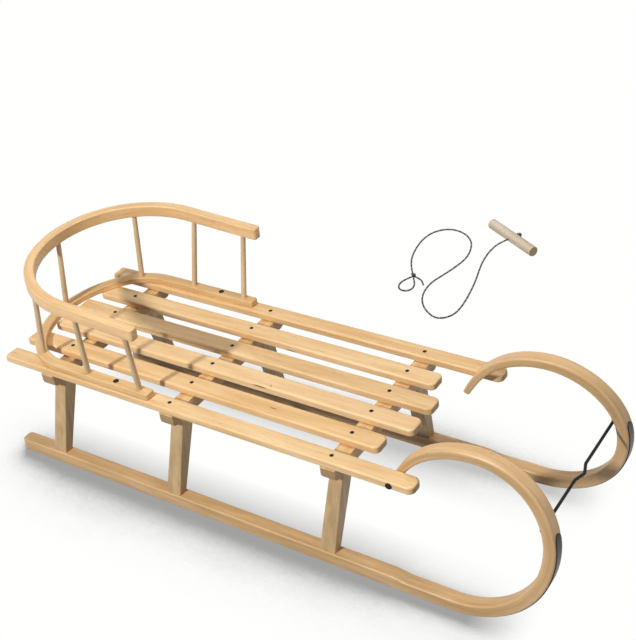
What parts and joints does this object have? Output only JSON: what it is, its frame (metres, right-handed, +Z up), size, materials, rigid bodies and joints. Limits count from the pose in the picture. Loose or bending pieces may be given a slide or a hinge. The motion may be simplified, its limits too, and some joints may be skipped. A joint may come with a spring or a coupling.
{
  "type": "horn sled",
  "caption": "Wooden sled with bentwood runners that curl back as horns, a slatted seat on posts, a bentwood backrest on spindles, and a pull cord with a wooden handle",
  "frame": {"origin": "on the floor, under the middle of the sled's length and width", "axes": "+X forward, the way it slides; +Y to the rider's left; +Z up from the floor"},
  "size_m": [1.077, 1.1077, 0.3955],
  "materials": {
    "bent_beech": "satin clear varnish on steam-bent beech",
    "sawn_beech": "satin clear varnish on planed beech",
    "handle_beech": "satin clear varnish on turned beech",
    "shoe_steel": "dark burnished steel strip",
    "dark_steel": "blackened steel, half matt",
    "braided_cord": "braided cord, dark with flecks"
  },
  "bodies": {
    "root": {"backrest_lower_rail": "bent_beech", "backrest_screw_left": "dark_steel", "backrest_screw_right": "dark_steel", "backrest_top_rail": "bent_beech", "cord_knot": "braided_cord", "cord_loop": "braided_cord", "cord_tail": "braided_cord", "cross_beam_front": "sawn_beech", "cross_beam_middle": "sawn_beech", "cross_beam_rear": "sawn_beech", "front_stretcher": "dark_steel", "handle_knot": "braided_cord", "horn_bolt_left": "dark_steel", "horn_bolt_right": "dark_steel", "post_front_left": "sawn_beech", "post_front_right": "sawn_beech", "post_middle_left": "sawn_beech", "post_middle_right": "sawn_beech", "post_rear_left": "sawn_beech", "post_rear_right": "sawn_beech", "pull_cord": "braided_cord", "pull_handle": "handle_beech", "runner_left": "bent_beech", "runner_right": "bent_beech", "runner_shoe_left": "shoe_steel", "runner_shoe_right": "shoe_steel", "seat_rail_left": "sawn_beech", "seat_rail_right": "sawn_beech", "seat_slat_1": "sawn_beech", "seat_slat_2": "sawn_beech", "seat_slat_3": "sawn_beech", "seat_slat_4": "sawn_beech", "spindle_back": "sawn_beech", "spindle_left_1": "sawn_beech", "spindle_left_2": "sawn_beech", "spindle_left_3": "sawn_beech", "spindle_right_1": "sawn_beech", "spindle_right_2": "sawn_beech", "spindle_right_3": "sawn_beech"}
  },
  "joints": []
}
